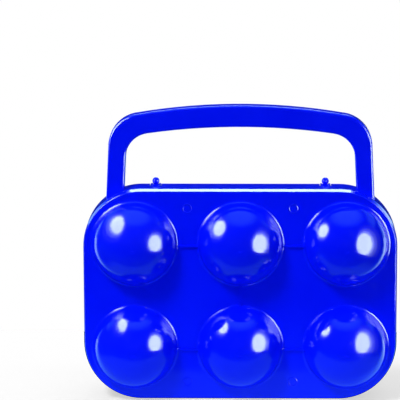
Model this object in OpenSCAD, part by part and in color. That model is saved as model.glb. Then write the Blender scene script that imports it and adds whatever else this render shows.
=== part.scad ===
// Hinged egg carrier: two mirrored half shells with domed cups, joined along the
// bottom by a thin film, closed at the top by two stud latches, carried by an
// arched handle that is moulded half on each shell.
// X runs along the width, Y through the depth (front is -Y), Z is up.
// The parting plane is y = 0 and the carrier stands on z = 0.

/* [Cups] */
// Cups side by side in a row
columns = 3; // [2:1:4]
// Rows of cups, one above the other
rows = 2; // [1:1:3]
// Distance between the centres of neighbouring cups
cup_pitch = 62; // [56:0.5:70]
// Radius at which a cup's foot meets the face plate
cup_foot_r = 26; // [24.5:0.25:27.5]
// Height of a cup's dome over the face plate
cup_h = 21; // [17:0.5:24]
// Radius of the hollow round the foot of a dome
cup_fillet = 1.7; // [1:0.1:2.5]

/* [Shell] */
// Thickness of the moulded wall
wall = 1.6; // [1.2:0.1:2.2]
// Depth of one half shell from the parting plane to its face plate
shell_depth = 13; // [9:0.5:18]
// Flat border between the outer cups and the sides
side_border = 4; // [3:0.5:9]
// Flat border above the top row and below the bottom row
end_border = 5.8; // [4:0.2:9]
// Radius of the shell's corners, seen from the front
corner_r = 34; // [26:1:38]
// Depth of the sloping shoulder round the face plate
shoulder_w = 4; // [3:0.5:6]
// Slope of that shoulder, in degrees
shoulder_tilt = 12; // [6:1:18]
// Radius of the edge between the shoulder and the face plate
edge_r = 0.6; // [0.4:0.1:1.2]
// Gap left between the two rims when the carrier is shut
rim_gap = 0.1; // [0.06:0.02:0.3]

/* [Ribs] */
// Width of the short ribs that tie neighbouring cups together
rib_w = 1.1; // [0.8:0.1:2]
// Height of those ribs over the face plate
rib_h = 1.1; // [0.6:0.1:1.6]
// How far the ribs lie below the middle of their row
rib_drop = 2; // [0:0.5:4]
// Diameter of the round ejector marks between the cups
mark_d = 5; // [3:0.5:7]
// Depth of those marks
mark_depth = 0.15; // [0.1:0.05:0.3]

/* [Handle] */
// Height of the handle over the shells
handle_rise = 48.4; // [42:0.2:60]
// Width over the handle's legs where they leave the shells
handle_span = 156.6; // [150:0.2:160]
// Width of each leg, seen from the front
leg_w = 10.4; // [9.5:0.1:12]
// Width of the bar in its middle
bar_w = 12.6; // [10.5:0.1:13.5]
// Depth of one half of the handle
band_depth = 5; // [4:0.25:6.5]
// Radius of the handle's rounded long edges
band_edge_r = 1.4; // [0.8:0.1:1.8]
// Radius of the bar's upper edge
arch_r = 360; // [300:2:500]
// Radius of the bar's lower edge
under_arch_r = 385; // [300:5:500]
// Radius of the handle's two upper corners, on the outside
handle_corner_r = 19.5; // [15:0.5:22]
// Radius of the same corners on the inside
handle_inner_r = 14.5; // [10:0.5:17]
// Lean of each leg from upright, in degrees
leg_lean = 2.8; // [0:0.2:4]

/* [Latches] */
// Distance of each latch from the middle
latch_x = 50; // [44:1:54]
// Diameter of the round head of a latch stud
stud_head_d = 4.3; // [4:0.1:5]
// Diameter of the stud's neck
stud_neck_d = 2.6; // [2:0.1:3]
// Height of a stud over the shells
stud_rise = 3.4; // [3.2:0.1:4.2]
// Distance from the parting plane back to the studs
stud_y = 11.4; // [8:0.2:12]
// Thickness of the tongue that hooks round a stud
tongue_t = 1.2; // [1:0.1:1.5]
// Width of that tongue
tongue_w = 6; // [5.6:0.2:8]
// Gap between the tongue and what it slides past
tongue_gap = 0.35; // [0.25:0.05:0.5]

/* [Hinge] */
// Length of the hinge film along the bottom edge
film_len = 104; // [80:2:112]
// Thickness of the film
film_t = 0.45; // [0.3:0.05:0.6]
// Width of the film across both shells
film_w = 6; // [5:0.5:8]
// Height of the recess that keeps the film off the table
recess_h = 1; // [0.8:0.1:1.4]
// Gap between the film's edges and the recess
film_gap = 0.4; // [0.2:0.1:0.8]

/* [Hidden] */
$fn = 96;
eps = 0.01;
// How far a cut runs past the face that it opens
over = 1;
plastic = [0.02, 0.07, 0.93];

shell_w = (columns - 1) * cup_pitch + 2 * cup_foot_r + 2 * side_border;
shell_h = (rows - 1) * cup_pitch + 2 * cup_foot_r + 2 * end_border;
cup_xs = [for (i = [0 : columns - 1]) (i - (columns - 1) / 2) * cup_pitch];
cup_zs = [for (i = [0 : rows - 1]) end_border + cup_foot_r + i * cup_pitch];
rim_y = rim_gap / 2;

// The shoulder runs from the side wall to the face plate, and ends in a rounded
// edge that is a hair fuller, so that it crosses both at an angle.
edge_fuller = 1.02;
function thousandths(size) = round(size * 1000) / 1000;
function shoulder_run(inset) = thousandths(shoulder_w - inset * (1 - tan(shoulder_tilt / 2)));
function shoulder_in(inset) = thousandths(
    edge_r / cos(shoulder_tilt) + (shoulder_run(inset) - edge_r) * tan(shoulder_tilt));

// The tongue lies so low that the round head just clears the edges of its slot.
stud_head_r = stud_head_d / 2;
slot_r = stud_neck_d / 2 + tongue_gap;
head_z = shell_h + stud_rise - stud_head_r;
tongue_z = thousandths(head_z - sqrt(pow(stud_head_r + tongue_gap / 2, 2) - slot_r * slot_r));
seat_z = tongue_z - tongue_t - tongue_gap - wall;

// The dome is a ball that meets the plate in a hollow fillet.
ball_r = (cup_foot_r * cup_foot_r / cup_h + cup_h) / 2 - cup_fillet;
ball_y = cup_h - ball_r;

// The handle's edges are each an arch, two corners and two leaning legs. The
// corners are a hair fuller than the rest, which ends inside them.
arch_fn = 360;
joint_lap = 0.5;
corner_fuller = 0.05;
edge_reach = (leg_w - band_edge_r + bar_w / 2) / 2;
leg_sink = corner_r / 2;

// Centre of the corner between a leg and an arch, for an edge with its middle at
// rise over the shells and half_w out from the middle at the foot of its leg.
function corner_at(rise, half_w, arch, corner) =
    let (
        lean = tan(leg_lean),
        foot = half_w - corner / cos(leg_lean),
        drop = arch - rise,
        b = drop - foot * lean,
        c = foot * foot + drop * drop - pow(arch - corner, 2),
        up = (sqrt(b * b - (1 + lean * lean) * c) - b) / (1 + lean * lean)
    )
    [foot - lean * up, shell_h + up];

// Outline of the shell seen from the front, moved in by inset.
module shell_outline(inset) {
    r = corner_r - inset;
    translate([inset - shell_w / 2, corner_r]) square([shell_w - 2 * inset, shell_h - 2 * corner_r]);
    translate([corner_r - shell_w / 2, inset]) square([shell_w - 2 * corner_r, shell_h - 2 * inset]);
    for (x = [-1, 1], z = [corner_r, shell_h - corner_r])
        translate([x * (shell_w / 2 - corner_r), z]) circle(r);
}

// Slab of the outline from depth y0 to depth y1, in front of the parting plane.
module slab(inset, y0, y1) {
    translate([0, -y0, 0]) rotate([90, 0, 0]) linear_extrude(y1 - y0) shell_outline(inset);
}

// Solid body of a half shell: outline, shoulder and face, moved in by inset.
module shell_body(inset, y0) {
    depth = shell_depth - inset;
    low = depth - shoulder_run(inset);
    face = inset + shoulder_in(inset);
    slab(inset, y0, low);
    slab(face, y0, depth);
    for (x = [-1, 1], z = [corner_r, shell_h - corner_r])
        translate([x * (shell_w / 2 - corner_r), -low, z])
            rotate([90, 0, 0])
                rotate([0, 0, z > corner_r ? (x > 0 ? 0 : 90) : (x > 0 ? 270 : 180)])
                    rotate_extrude(angle = 90)
                        translate([corner_r - face, 0]) shoulder(inset);
    for (x = [-1, 1])
        translate([x * (shell_w / 2 - face), -low, corner_r])
            linear_extrude(shell_h - 2 * corner_r)
                mirror([x > 0 ? 0 : 1, 0]) mirror([0, 1]) shoulder(inset);
    for (z = [0, 1])
        translate([corner_r - shell_w / 2, -low, z > 0 ? shell_h - face : face])
            rotate([0, 90, 0])
                linear_extrude(shell_w - 2 * corner_r)
                    mirror([z > 0 ? 1 : 0, 0]) mirror([0, 1]) shoulder(inset);
}

// Section of the shoulder. It laps inward into the face.
module shoulder(inset) {
    run = shoulder_run(inset);
    out = shoulder_in(inset);
    turn = edge_r * (1 - sin(shoulder_tilt));
    difference() {
        polygon([[-joint_lap, 0], [out, 0], [out - run * tan(shoulder_tilt), run], [-joint_lap, run]]);
        difference() {
            translate([0, run - turn]) square(out + turn);
            translate([0, run - edge_r]) circle(edge_r * edge_fuller);
        }
    }
}

// Area under a dome's curve, moved in by inset, in radius and height.
module dome_area(inset) {
    t = (ball_r - inset) / (ball_r + cup_fillet);
    top = ball_y + (cup_fillet - ball_y) * t;
    intersection() {
        translate([0, ball_y]) circle(ball_r - inset);
        translate([0, top]) square(2 * ball_r);
    }
    difference() {
        polygon([
            [0, -2 * wall],
            [cup_foot_r, -2 * wall],
            [cup_foot_r, cup_fillet],
            [cup_foot_r * t, top],
            [0, top]
        ]);
        translate([cup_foot_r, cup_fillet]) circle(cup_fillet + inset);
    }
}

module at_cups() {
    for (x = cup_xs, z = cup_zs)
        translate([x, -shell_depth, z]) rotate([90, 0, 0]) children();
}

// Short ribs on the face plate between neighbouring cups.
module cup_ribs() {
    reach = cup_pitch - 2 * cup_foot_r + 2 * cup_fillet;
    for (i = [0 : 1 : columns - 2], z = cup_zs)
        translate([(cup_xs[i] + cup_xs[i + 1] - reach) / 2, -shell_depth - rib_h, z - rib_drop])
            cube([reach, rib_h + wall / 2, rib_w]);
    if (columns % 2 == 1)
        for (i = [0 : 1 : rows - 2])
            translate([-rib_w / 2, -shell_depth - rib_h, (cup_zs[i] + cup_zs[i + 1] - reach) / 2])
                cube([rib_w, rib_h + wall / 2, reach]);
}

// Shallow round marks left by the mould, in the corners between four cups.
module marks() {
    inward = cup_foot_r - mark_d;
    for (i = [0 : 1 : columns - 2], z = [cup_zs[0] - inward, cup_zs[rows - 1] + inward])
        translate([(cup_xs[i] + cup_xs[i + 1]) / 2, -shell_depth + mark_depth, z])
            rotate([90, 0, 0]) cylinder(d = mark_d, h = over);
}

// Section of the handle at one of its edges: outward from the edge is +X.
module edge_section(inset) {
    d = band_depth - inset;
    r = max(band_edge_r - inset, band_edge_r / 4);
    translate([-edge_reach, 0]) square([edge_reach - inset, d - r]);
    translate([-edge_reach, 0]) square([edge_reach - inset - r, d]);
    translate([-inset - r, d - r]) circle(r);
}

// Strip of the handle along one edge. The material lies inward of an outer edge,
// and outward of an inner one.
module edge_strip(rise, half_w, arch, corner, outer, inset) {
    c = corner_at(rise, half_w, arch, corner);
    half = atan(c[0] / (c[1] - shell_h - rise + arch));
    lap_turn = joint_lap / arch * 180 / PI;
    fuller = inset - corner_fuller;
    translate([0, 0, shell_h + rise - arch])
        sweep(arch, 90 - half - lap_turn, 2 * (half + lap_turn), $fn = arch_fn)
            placed(outer, inset);
    for (side = [0, 1]) mirror([side, 0, 0]) translate([c[0], 0, c[1]]) {
        sweep(corner, leg_lean, 90 - half - leg_lean) placed(outer, fuller);
        rotate([0, -leg_lean, 0])
            translate([corner, 0, joint_lap])
                rotate([180, 0, 0])
                    linear_extrude(c[1] - shell_h + leg_sink) placed(outer, inset);
    }
}

// The section as it lies on an outer or an inner edge.
module placed(outer, inset) {
    if (outer)
        edge_section(inset);
    else
        mirror([1, 0]) edge_section(inset);
}

// Turns a section round an axis that runs through the depth.
module sweep(r, from, turn) {
    rotate([90, 0, 0]) rotate([0, 0, from]) rotate_extrude(angle = turn) translate([r, 0]) children();
}

// One half of the handle, as two strips that overlap along its middle.
module band(inset) {
    edge_strip(handle_rise, handle_span / 2, arch_r, handle_corner_r, true, inset);
    edge_strip(handle_rise - bar_w, handle_span / 2 - leg_w / cos(leg_lean), under_arch_r,
        handle_inner_r, false, inset);
}

// Domed solid of a half shell, moved in by inset.
module domed_body(inset, y0) {
    shell_body(inset, y0);
    at_cups() rotate_extrude() dome_area(inset);
}

// Half shell in front of the parting plane, without latch or hinge parts.
module half_shell() {
    difference() {
        union() {
            difference() {
                union() {
                    domed_body(0, rim_y);
                    cup_ribs();
                }
                domed_body(wall, -over);
                marks();
            }
            half_handle();
            recess_backing();
        }
        film_recess();
    }
}

module half_handle() {
    difference() {
        band(0);
        translate([0, eps, 0]) band(wall);
        translate([0, rim_gap, 0]) slab(wall / 2, 0, band_depth + over);
        translate([-shell_w, -rim_y, 0]) cube([2 * shell_w, over, 2 * shell_h]);
    }
}

// Thicker strip inside the bottom wall, over the recess for the film.
module recess_backing() {
    side = film_gap + wall;
    translate([-film_len / 2 - side, -film_w / 2 - side, wall / 2])
        cube([film_len + 2 * side, film_w / 2 + side - rim_y, recess_h + wall / 2]);
}

module film_recess() {
    translate([-film_len / 2 - film_gap, -film_w / 2 - film_gap, -over])
        cube([film_len + 2 * film_gap, film_w / 2 + film_gap + over, over + recess_h]);
}

// Tongue of the front half that reaches back over the rear half, flush with its
// face, and takes the neck of a stud in the open slot at its end.
module tongue() {
    low = min(tongue_z - tongue_t, shell_h - wall / 2);
    high = max(tongue_z, shell_h - wall / 2);
    translate([-tongue_w / 2, -wall - rim_y, low]) cube([tongue_w, wall, high - low]);
    difference() {
        translate([-tongue_w / 2, -wall - rim_y, tongue_z - tongue_t])
            cube([tongue_w, shell_depth + wall + rim_y, tongue_t]);
        translate([0, stud_y, tongue_z - tongue_t - over]) cylinder(r = slot_r, h = tongue_t + 2 * over);
        translate([-slot_r, stud_y, tongue_z - tongue_t - over])
            cube([2 * slot_r, shell_depth, tongue_t + 2 * over]);
    }
}

// Channel in the rear half's top wall that the tongue lies in.
module tongue_channel() {
    w = tongue_w + 2 * tongue_gap;
    translate([-w / 2, -over, seat_z + wall])
        cube([w, shell_depth + 2 * over, shell_h - seat_z - wall + over]);
}

// Step in the top wall under the channel.
module stud_seat() {
    w = tongue_w + 2 * tongue_gap + 2 * wall;
    translate([-w / 2, rim_y, seat_z])
        cube([w, shell_depth - rim_y - wall / 2, shell_h - wall / 2 - seat_z]);
}

// Stud with a round head, which stands on that step.
module stud() {
    translate([0, stud_y, seat_z]) cylinder(d = stud_neck_d, h = head_z - seat_z);
    translate([0, stud_y, head_z]) sphere(d = stud_head_d);
}

module front_half() {
    color(plastic) {
        half_shell();
        for (x = [-latch_x, latch_x]) translate([x, 0, 0]) tongue();
    }
}

module rear_half() {
    color(plastic) {
        difference() {
            union() {
                mirror([0, 1, 0]) half_shell();
                for (x = [-latch_x, latch_x]) translate([x, 0, 0]) stud_seat();
            }
            for (x = [-latch_x, latch_x]) translate([x, 0, 0]) tongue_channel();
        }
        for (x = [-latch_x, latch_x]) translate([x, 0, 0]) stud();
    }
}

// Film that folds as the halves swing apart.
module hinge_film() {
    color(plastic)
        translate([-film_len / 2, -film_w / 2, recess_h - film_t])
            cube([film_len, film_w, film_t]);
}

rear_half();
front_half();
hinge_film();
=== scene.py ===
# A hinged egg carrier in glossy blue plastic, standing shut on a pale studio floor.
import math

import bpy
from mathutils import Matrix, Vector


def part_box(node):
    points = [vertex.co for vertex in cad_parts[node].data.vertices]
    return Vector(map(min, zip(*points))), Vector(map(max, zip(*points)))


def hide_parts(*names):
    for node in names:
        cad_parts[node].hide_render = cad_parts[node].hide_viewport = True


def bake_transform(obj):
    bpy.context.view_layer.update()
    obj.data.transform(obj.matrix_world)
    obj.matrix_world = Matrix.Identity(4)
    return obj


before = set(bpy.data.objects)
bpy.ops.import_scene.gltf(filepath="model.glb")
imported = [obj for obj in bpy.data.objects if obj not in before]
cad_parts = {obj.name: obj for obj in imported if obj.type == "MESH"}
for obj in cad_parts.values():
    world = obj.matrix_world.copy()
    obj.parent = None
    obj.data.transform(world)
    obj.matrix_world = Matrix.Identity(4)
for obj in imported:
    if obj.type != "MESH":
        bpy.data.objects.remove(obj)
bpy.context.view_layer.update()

# Camera, worked out from the photograph's edges against the frame: the target lies at TARGET_PIXEL.
CAMERA_AZIMUTH = math.radians(0.5)
CAMERA_ELEVATION = math.radians(11.6)
CAMERA_DISTANCE = 1.6
CAMERA_CLIP = (0.05, 60.0)
FOCAL_PIXELS = 2715
IMAGE_PIXELS = 400
TARGET = Vector((0, 0, 0.0875))
TARGET_PIXEL = (240.4, 250.0)
SENSOR_MM = 36.0

# Hinge film: how far each side of its middle it bends, how much it thins there, and its grid.
FILM_THINNING = 0.00008
FILM_THIN_WIDTH = 0.0006
FILM_STEPS = 24
FILM_LENGTH_STEPS = 52

# The two plastics: colour, the colour of their deeper patches, roughness and height of the sink waves.
SHELL_PLASTIC = ((0.0, 0.0048, 0.88, 1), (0.0, 0.0038, 0.84, 1), 0.11, 0.00004)
FILM_PLASTIC = ((0.002, 0.012, 0.86, 1), (0.0, 0.006, 0.8, 1), 0.22, 0.00003)
PLASTIC_IOR = 1.5
ROUGHNESS_CHANGE = 0.02
WORN_ROUGHNESS = 0.1

# Noise textures of the plastic: waves per metre, detail and roughness, and the part of each that acts.
TONE_NOISE = (26.0, 3.0, 0.55)
FLOW_NOISE = (70.0, 2.0, 0.5)
GRAIN_NOISE = (2600.0, 2.0, 0.6)
RUBBED_NOISE = (210.0, 5.0, 0.7)
TONE_FOR_COLOUR = (0.3, 0.6)
TONE_FOR_ROUGHNESS = (0.3, 0.7)
RUBBED_PART = (0.56, 0.74)

# Height of the mould's grain, and the round marks of its ejector pins on each face plate.
GRAIN_HEIGHT = 0.0000012
MARK_ACROSS = 0.031
MARK_HEIGHTS = (0.1148, 0.0108)
MARK_RADIUS = 0.0025
MARK_RIM = 0.0005
MARK_HEIGHT = 0.00013

# The two lamps that show in the gloss: place, the point they face, size and radiance.
HIGHLIGHTS = {
    "left_highlight": ((-0.157, -0.065, 0.226), (1.0, -0.1, 0.1), (0.165, 0.165), 18),
    "right_highlight": ((0.24, -0.216, 0.115), (-1.0, -0.15, 0.1), (0.33, 0.3), 18),
}
HIGHLIGHT_TINT = (0.84, 1.0, 1.0)
# Parts of such a lamp, for a soft edge: share of its size, share of its radiance.
HIGHLIGHT_PARTS = {"core": (0.82, 1.0), "rim": (0.98, 0.3), "fringe": (1.18, 0.08), "halo": (1.45, 0.01)}

# The lamps that light the colour: the key, and broad ones by source direction, strength and spread.
KEY_LAMP = ((-0.7, -0.9, 1.3), (0, 0, 0.06), (0.4, 0.4), 48)
FILL_LIGHTS = {
    "front_fill": ((0.3, -1.0, 0.4), 1.3, 150),
    "rear_fill": ((-0.2, 1.0, 0.4), 1.7, 150),
    # From below the floor, which keeps them off all that stands on it.
    "under_front_fill": ((0.3, -1.0, -0.8), 2.4, 70),
    "under_rear_fill": ((-0.3, 1.0, -0.8), 2.0, 70),
}
EVEN_LIGHT = 0.32

# Strengths of what the gloss shows, and their tint: cool where it is dim, near white where it is bright.
BACKDROP = 9.0
LEFT_WALL = 3.5
RIGHT_WALL = 5.0
CEILING = 0.8
DARK_ROOM = 0.03
NEAR_FLOOR = 0.3
LEFT_FLOOR = 2.4
RIGHT_FLOOR = 3.5
DIM_TINT = (0.27, 0.85, 1.0, 1.0)
BRIGHT_TINT = (0.62, 0.92, 1.0, 1.0)
TINT_STRENGTHS = (0.5, 3.0)

# Edges of the backdrop, the walls and the ceiling, as parts of a unit direction from the object.
BACKDROP_BEHIND = (0.0, 0.25)
BACKDROP_ASIDE = (0.14, 0.34)
BACKDROP_ASIDE_LEVEL = 0.06
BACKDROP_FOOT = (0.41, 0.5)
BACKDROP_TOP = (0.64, 0.78)
WALL_ASIDE = (0.36, 0.6)
WALL_TOP = (0.2, 0.42)
WALL_BEHIND = (0.45, 0.85)
CEILING_EDGE = (0.75, 0.97)

# Edges of the lit parts of the floor, in metres. Those to the rear run outwards at FLOOR_SLOPE.
NEAR_ASIDE = (0.12, 0.2)
NEAR_FRONT = (-0.095, -0.07)
FLOOR_SLOPE = 0.6
FLOOR_OUTWARD = (0.06, 0.14)
FLOOR_BACKWARD = (-0.1, -0.02)
LEFT_TO_RIGHT = (-0.1, 0.1)
FLOOR_BOUNCE = 0.9
BOUNCE_EDGE = (0.12, 0.25)
FLOOR_REACH = 6.0
FLOOR_DROP = 0.0002

# The paper that the camera sees ends, white on white, close in front of the object and further off beside
# and behind it, so that the front half shows when it is swung open and hangs below the floor. Its glow
# rises towards its edges, which fades the shadow out there.
PAPER_COLOUR = (0.9, 0.9, 0.9, 1)
PAPER_GLOW = 0.9
EDGE_GLOW = 20.0
FADE_FRONT = (-0.07, -0.036)
FADE_BACK = (0.04, 0.16)
FADE_ASIDE = (0.15, 0.3)
WHITE = (1, 1, 1, 1)


def add(tree, kind, settings=None, **inputs):
    """A node of this kind; an input's name has _ for each space."""
    node = tree.nodes.new(kind)
    for name, value in (settings or {}).items():
        setattr(node, name, value)
    for name, value in inputs.items():
        node.inputs[name.replace("_", " ")].default_value = value
    return node


def new_material(name):
    material = bpy.data.materials.new(name)
    material.use_nodes = True
    tree = material.node_tree
    tree.nodes.clear()
    return material, tree, add(tree, "ShaderNodeOutputMaterial")


def math_node(tree, operation, first, second=None):
    """A Math node; first and second are sockets or plain numbers."""
    node = add(tree, "ShaderNodeMath", {"operation": operation})
    for socket, value in zip(node.inputs, (first, second)):
        if value is None:
            continue
        if isinstance(value, (int, float)):
            socket.default_value = value
        else:
            tree.links.new(value, socket)
    return node.outputs[0]


def smooth_range(tree, value, limits, start, end):
    """Goes smoothly from start to end while value goes through the limits."""
    node = add(tree, "ShaderNodeMapRange", {"interpolation_type": "SMOOTHSTEP"},
               From_Min=limits[0], From_Max=limits[1], To_Min=start, To_Max=end)
    tree.links.new(value, node.inputs["Value"])
    return node.outputs["Result"]


def product(tree, first, *others):
    for other in others:
        first = math_node(tree, "MULTIPLY", first, other)
    return first


def mixed_colour(tree, factor, first, second):
    mix = add(tree, "ShaderNodeMix", {"data_type": "RGBA"}, A=first, B=second)
    tree.links.new(factor, mix.inputs["Factor"])
    return mix.outputs["Result"]


def mixed_shader(tree, factor, first, second):
    mix = add(tree, "ShaderNodeMixShader")
    for socket, source in zip(mix.inputs, (factor, first, second)):
        tree.links.new(source, socket)
    return mix.outputs[0]


def tinted(tree, strength):
    """The colour of a reflected light of this strength."""
    return mixed_colour(tree, smooth_range(tree, strength, TINT_STRENGTHS, 0.0, 1.0), DIM_TINT, BRIGHT_TINT)


def mark_rims(tree, place):
    """1 on the rims of the round marks that the mould's ejector pins leave, 0 elsewhere."""
    split = add(tree, "ShaderNodeSeparateXYZ")
    tree.links.new(place, split.inputs[0])
    x, _, z = split.outputs
    across = math_node(tree, "SUBTRACT", math_node(tree, "ABSOLUTE", x), MARK_ACROSS)
    upper, lower = (math_node(tree, "ABSOLUTE", math_node(tree, "SUBTRACT", z, height))
                    for height in MARK_HEIGHTS)
    along = math_node(tree, "MINIMUM", upper, lower)
    squares = [product(tree, side, side) for side in (across, along)]
    radius = math_node(tree, "SQRT", math_node(tree, "ADD", *squares))
    off_rim = math_node(tree, "ABSOLUTE", math_node(tree, "SUBTRACT", radius, MARK_RADIUS))
    return smooth_range(tree, off_rim, (0.0, MARK_RIM), 1.0, 0.0)


def noise(tree, place, scale, detail, roughness):
    texture = add(tree, "ShaderNodeTexNoise", Scale=scale, Detail=detail, Roughness=roughness)
    tree.links.new(place, texture.inputs["Vector"])
    return texture.outputs[0]


def moulded_plastic(name, colour, deep_colour, roughness, wave_height):
    """Glossy moulded plastic: broad sink waves, fine mould texture, faint rubbed spots."""
    material, tree, output = new_material(name)
    link = tree.links.new
    place = add(tree, "ShaderNodeTexCoord").outputs["Object"]
    tone, flow, grain, rubbed = (noise(tree, place, *values)
                                 for values in (TONE_NOISE, FLOW_NOISE, GRAIN_NOISE, RUBBED_NOISE))
    base = mixed_colour(tree, smooth_range(tree, tone, TONE_FOR_COLOUR, 0.0, 1.0), deep_colour, colour)
    worn = smooth_range(tree, rubbed, RUBBED_PART, 0.0, WORN_ROUGHNESS)
    even = smooth_range(tree, tone, TONE_FOR_ROUGHNESS, roughness - ROUGHNESS_CHANGE,
                        roughness + ROUGHNESS_CHANGE)
    waves = math_node(tree, "ADD", product(tree, flow, wave_height), product(tree, grain, GRAIN_HEIGHT))
    height = math_node(tree, "ADD", waves, product(tree, mark_rims(tree, place), MARK_HEIGHT))
    bump = add(tree, "ShaderNodeBump", Strength=1.0, Distance=1.0)
    link(height, bump.inputs["Height"])
    shader = add(tree, "ShaderNodeBsdfPrincipled", IOR=PLASTIC_IOR)
    link(base, shader.inputs["Base Color"])
    link(math_node(tree, "ADD", worn, even), shader.inputs["Roughness"])
    link(bump.outputs["Normal"], shader.inputs["Normal"])
    link(shader.outputs["BSDF"], output.inputs["Surface"])
    return material


def make_camera():
    data = bpy.data.cameras.new("camera")
    data.sensor_width = SENSOR_MM
    data.lens = FOCAL_PIXELS / IMAGE_PIXELS * SENSOR_MM
    data.shift_x = (IMAGE_PIXELS / 2 - TARGET_PIXEL[0]) / IMAGE_PIXELS
    data.shift_y = (TARGET_PIXEL[1] - IMAGE_PIXELS / 2) / IMAGE_PIXELS
    data.clip_start, data.clip_end = CAMERA_CLIP
    camera = bpy.data.objects.new("camera", data)
    bpy.context.scene.collection.objects.link(camera)
    outward = Vector((math.sin(CAMERA_AZIMUTH) * math.cos(CAMERA_ELEVATION),
                      -math.cos(CAMERA_AZIMUTH) * math.cos(CAMERA_ELEVATION),
                      math.sin(CAMERA_ELEVATION)))
    camera.location = TARGET + outward * CAMERA_DISTANCE
    camera.rotation_euler = (-outward).to_track_quat("-Z", "Y").to_euler()
    bpy.context.scene.camera = camera


def add_light(name, kind, place, aim, gloss):
    """A lamp that shows in the gloss only, or one that lights the colour only."""
    data = bpy.data.lights.new(name, kind)
    light = bpy.data.objects.new(name, data)
    bpy.context.scene.collection.objects.link(light)
    light.location = place
    light.rotation_euler = (Vector(aim) - Vector(place)).to_track_quat("-Z", "Y").to_euler()
    light.visible_camera = False
    light.visible_diffuse = not gloss
    light.visible_glossy = gloss
    data.cycles.use_multiple_importance_sampling = gloss
    return data


def round_lamp(name, place, aim, size, radiance, gloss):
    data = add_light(name, "AREA", place, aim, gloss)
    data.shape = "ELLIPSE"
    data.size, data.size_y = size
    area = math.pi * size[0] * size[1] / 4
    data.energy = radiance * area * math.pi
    return data


def highlight(name, place, aim, size, radiance):
    """A lamp with a soft edge: a bright core inside wider and fainter ones."""
    for part, (scale, share) in HIGHLIGHT_PARTS.items():
        part_size = (size[0] * scale, size[1] * scale)
        data = round_lamp(f"{name}_{part}", place, aim, part_size, radiance * share, gloss=True)
        data.color = HIGHLIGHT_TINT


def fill_light(name, source, strength, spread):
    data = add_light(name, "SUN", source, (0, 0, 0), gloss=False)
    data.energy = strength
    data.angle = math.radians(spread)


def make_world():
    """White to the camera, even for colours; for the gloss a dim room with a backdrop and two walls."""
    world = bpy.data.worlds.new("studio")
    bpy.context.scene.world = world
    world.use_nodes = True
    tree = world.node_tree
    tree.nodes.clear()
    link = tree.links.new
    output = add(tree, "ShaderNodeOutputWorld")
    path = add(tree, "ShaderNodeLightPath")
    split = add(tree, "ShaderNodeSeparateXYZ")
    link(add(tree, "ShaderNodeTexCoord").outputs["Generated"], split.inputs[0])
    x, y, z = split.outputs
    aside = math_node(tree, "ABSOLUTE", x)
    backdrop = product(tree,
                       smooth_range(tree, y, BACKDROP_BEHIND, 0.0, 1.0),
                       smooth_range(tree, aside, BACKDROP_ASIDE, 1.0, BACKDROP_ASIDE_LEVEL),
                       smooth_range(tree, z, BACKDROP_FOOT, 0.0, BACKDROP),
                       smooth_range(tree, z, BACKDROP_TOP, 1.0, 0.0))
    left = smooth_range(tree, x, (-WALL_ASIDE[1], -WALL_ASIDE[0]), LEFT_WALL, 0.0)
    right = smooth_range(tree, x, WALL_ASIDE, 0.0, RIGHT_WALL)
    walls = product(tree,
                    math_node(tree, "ADD", left, right),
                    smooth_range(tree, z, WALL_TOP, 1.0, 0.0),
                    smooth_range(tree, y, WALL_BEHIND, 0.0, 1.0))
    ceiling = smooth_range(tree, z, CEILING_EDGE, 0.0, CEILING)
    room = math_node(tree, "MAXIMUM", math_node(tree, "MAXIMUM", backdrop, walls), ceiling)
    gloss = math_node(tree, "ADD", room, DARK_ROOM)
    glossy_light = add(tree, "ShaderNodeBackground")
    link(gloss, glossy_light.inputs["Strength"])
    link(tinted(tree, gloss), glossy_light.inputs["Color"])
    even_light = add(tree, "ShaderNodeBackground", Color=WHITE, Strength=EVEN_LIGHT)
    seen = add(tree, "ShaderNodeBackground", Color=WHITE, Strength=1.0)
    unseen = mixed_shader(tree, path.outputs["Is Glossy Ray"], even_light.outputs[0],
                          glossy_light.outputs[0])
    whole = mixed_shader(tree, path.outputs["Is Camera Ray"], unseen, seen.outputs[0])
    link(whole, output.inputs["Surface"])


def flat_sheet(name, low, high, z, material):
    """A level sheet between two corners. It is staging, not part of the object."""
    mesh = bpy.data.meshes.new(name)
    corners = [(low[0], low[1], z), (high[0], low[1], z), (high[0], high[1], z), (low[0], high[1], z)]
    mesh.from_pydata(corners, [], [(0, 1, 2, 3)])
    mesh.materials.append(material)
    material.cycles.emission_sampling = "NONE"
    sheet = bpy.data.objects.new(name, mesh)
    bpy.context.scene.collection.objects.link(sheet)
    return sheet


def floor_place(tree):
    """The x and y sockets of a point on the floor, and its distance aside from x = 0."""
    split = add(tree, "ShaderNodeSeparateXYZ")
    tree.links.new(add(tree, "ShaderNodeTexCoord").outputs["Object"], split.inputs[0])
    x, y, _ = split.outputs
    return x, y, math_node(tree, "ABSOLUTE", x)


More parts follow.
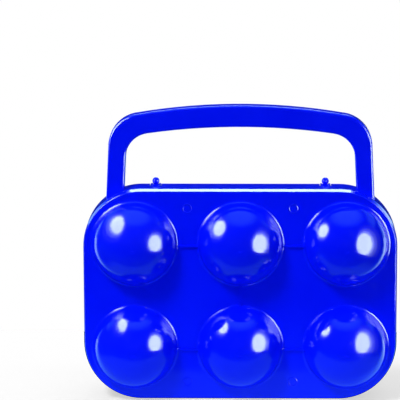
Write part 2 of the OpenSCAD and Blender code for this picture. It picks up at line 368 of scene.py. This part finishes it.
def make_paper():
    """The pale paper that the camera sees, with the object's shadow on it."""
    material, tree, output = new_material("floor_paper")
    link = tree.links.new
    _, y, aside = floor_place(tree)
    inside = product(tree,
                     smooth_range(tree, y, FADE_FRONT, 0.0, 1.0),
                     smooth_range(tree, y, FADE_BACK, 1.0, 0.0),
                     smooth_range(tree, aside, FADE_ASIDE, 1.0, 0.0))
    paper = add(tree, "ShaderNodeBsdfDiffuse", Color=PAPER_COLOUR)
    glow = add(tree, "ShaderNodeEmission")
    link(smooth_range(tree, inside, (0.0, 1.0), EDGE_GLOW, PAPER_GLOW), glow.inputs["Strength"])
    lit = add(tree, "ShaderNodeAddShader")
    link(paper.outputs[0], lit.inputs[0])
    link(glow.outputs[0], lit.inputs[1])
    link(lit.outputs[0], output.inputs["Surface"])
    low = (-FADE_ASIDE[1], FADE_FRONT[0])
    high = (FADE_ASIDE[1], FADE_BACK[1])
    sheet = flat_sheet("floor_paper", low, high, 0.0, material)
    sheet.is_shadow_catcher = True
    for kind in ("diffuse", "glossy", "transmission", "volume_scatter", "shadow"):
        setattr(sheet, f"visible_{kind}", False)


def make_floor():
    """What the object sees of the floor: lit near it, and to the rear left and right of it."""
    material, tree, output = new_material("floor_light")
    link = tree.links.new
    path = add(tree, "ShaderNodeLightPath")
    x, y, aside = floor_place(tree)
    near = product(tree,
                   smooth_range(tree, aside, NEAR_ASIDE, 1.0, 0.0),
                   smooth_range(tree, y, NEAR_FRONT, 0.0, NEAR_FLOOR))
    outward = math_node(tree, "SUBTRACT", aside, product(tree, y, FLOOR_SLOPE))
    backward = math_node(tree, "SUBTRACT", y, product(tree, aside, FLOOR_SLOPE))
    rear = product(tree,
                   smooth_range(tree, outward, FLOOR_OUTWARD, 0.0, 1.0),
                   smooth_range(tree, x, LEFT_TO_RIGHT, LEFT_FLOOR, RIGHT_FLOOR),
                   smooth_range(tree, backward, FLOOR_BACKWARD, 0.0, 1.0))
    gloss = math_node(tree, "ADD", math_node(tree, "MAXIMUM", near, rear), DARK_ROOM)
    bounce = product(tree, path.outputs["Is Diffuse Ray"],
                     smooth_range(tree, math_node(tree, "ABSOLUTE", y), BOUNCE_EDGE, FLOOR_BOUNCE, 0.0))
    light = add(tree, "ShaderNodeEmission")
    link(math_node(tree, "ADD", gloss, bounce), light.inputs["Strength"])
    link(tinted(tree, gloss), light.inputs["Color"])
    link(light.outputs[0], output.inputs["Surface"])
    low = (-FLOOR_REACH, -FLOOR_REACH)
    high = (FLOOR_REACH, FLOOR_REACH)
    flat_sheet("floor", low, high, -FLOOR_DROP, material).visible_camera = False


def hinge_film(material):
    """The film of the living hinge, thinned along the line where it bends."""
    low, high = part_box("hinge_film")
    points, faces = [], []
    width = high[1] - low[1]
    middle = (low[1] + high[1]) / 2
    for side, z in ((0, low[2]), (1, high[2])):
        for i in range(FILM_STEPS + 1):
            y = low[1] + width * i / FILM_STEPS
            thinning = FILM_THINNING * math.exp(-((y - middle) / FILM_THIN_WIDTH) ** 2)
            lift = thinning if side == 0 else -thinning
            for k in range(FILM_LENGTH_STEPS + 1):
                x = low[0] + (high[0] - low[0]) * k / FILM_LENGTH_STEPS
                points.append((x, y, z + lift))
    row = FILM_LENGTH_STEPS + 1
    layer = row * (FILM_STEPS + 1)

    def at(side, i, k):
        return side * layer + i * row + k

    for i in range(FILM_STEPS):
        for k in range(FILM_LENGTH_STEPS):
            faces.append((at(0, i, k), at(0, i + 1, k), at(0, i + 1, k + 1), at(0, i, k + 1)))
            faces.append((at(1, i, k), at(1, i, k + 1), at(1, i + 1, k + 1), at(1, i + 1, k)))
    for i in range(FILM_STEPS):
        faces.append((at(0, i, 0), at(1, i, 0), at(1, i + 1, 0), at(0, i + 1, 0)))
        last = FILM_LENGTH_STEPS
        faces.append((at(0, i, last), at(0, i + 1, last), at(1, i + 1, last), at(1, i, last)))
    for k in range(FILM_LENGTH_STEPS):
        last = FILM_STEPS
        faces.append((at(0, 0, k), at(0, 0, k + 1), at(1, 0, k + 1), at(1, 0, k)))
        faces.append((at(0, last, k), at(1, last, k), at(1, last, k + 1), at(0, last, k + 1)))
    mesh = bpy.data.meshes.new("living_hinge")
    mesh.from_pydata(points, [], faces)
    mesh.materials.append(material)
    film = bpy.data.objects.new("living_hinge", mesh)
    bpy.context.scene.collection.objects.link(film)
    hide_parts("hinge_film")
    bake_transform(film)


bpy.context.scene.view_settings.view_transform = "Standard"
make_camera()
make_world()
make_paper()
make_floor()
for name, values in HIGHLIGHTS.items():
    highlight(name, *values)
round_lamp("key", *KEY_LAMP, gloss=False)
for name, values in FILL_LIGHTS.items():
    fill_light(name, *values)
plastic = moulded_plastic("shell_plastic_blue", *SHELL_PLASTIC)
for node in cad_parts.values():
    for slot in node.material_slots:
        slot.material = plastic
hinge_film(moulded_plastic("film_plastic_blue", *FILM_PLASTIC))
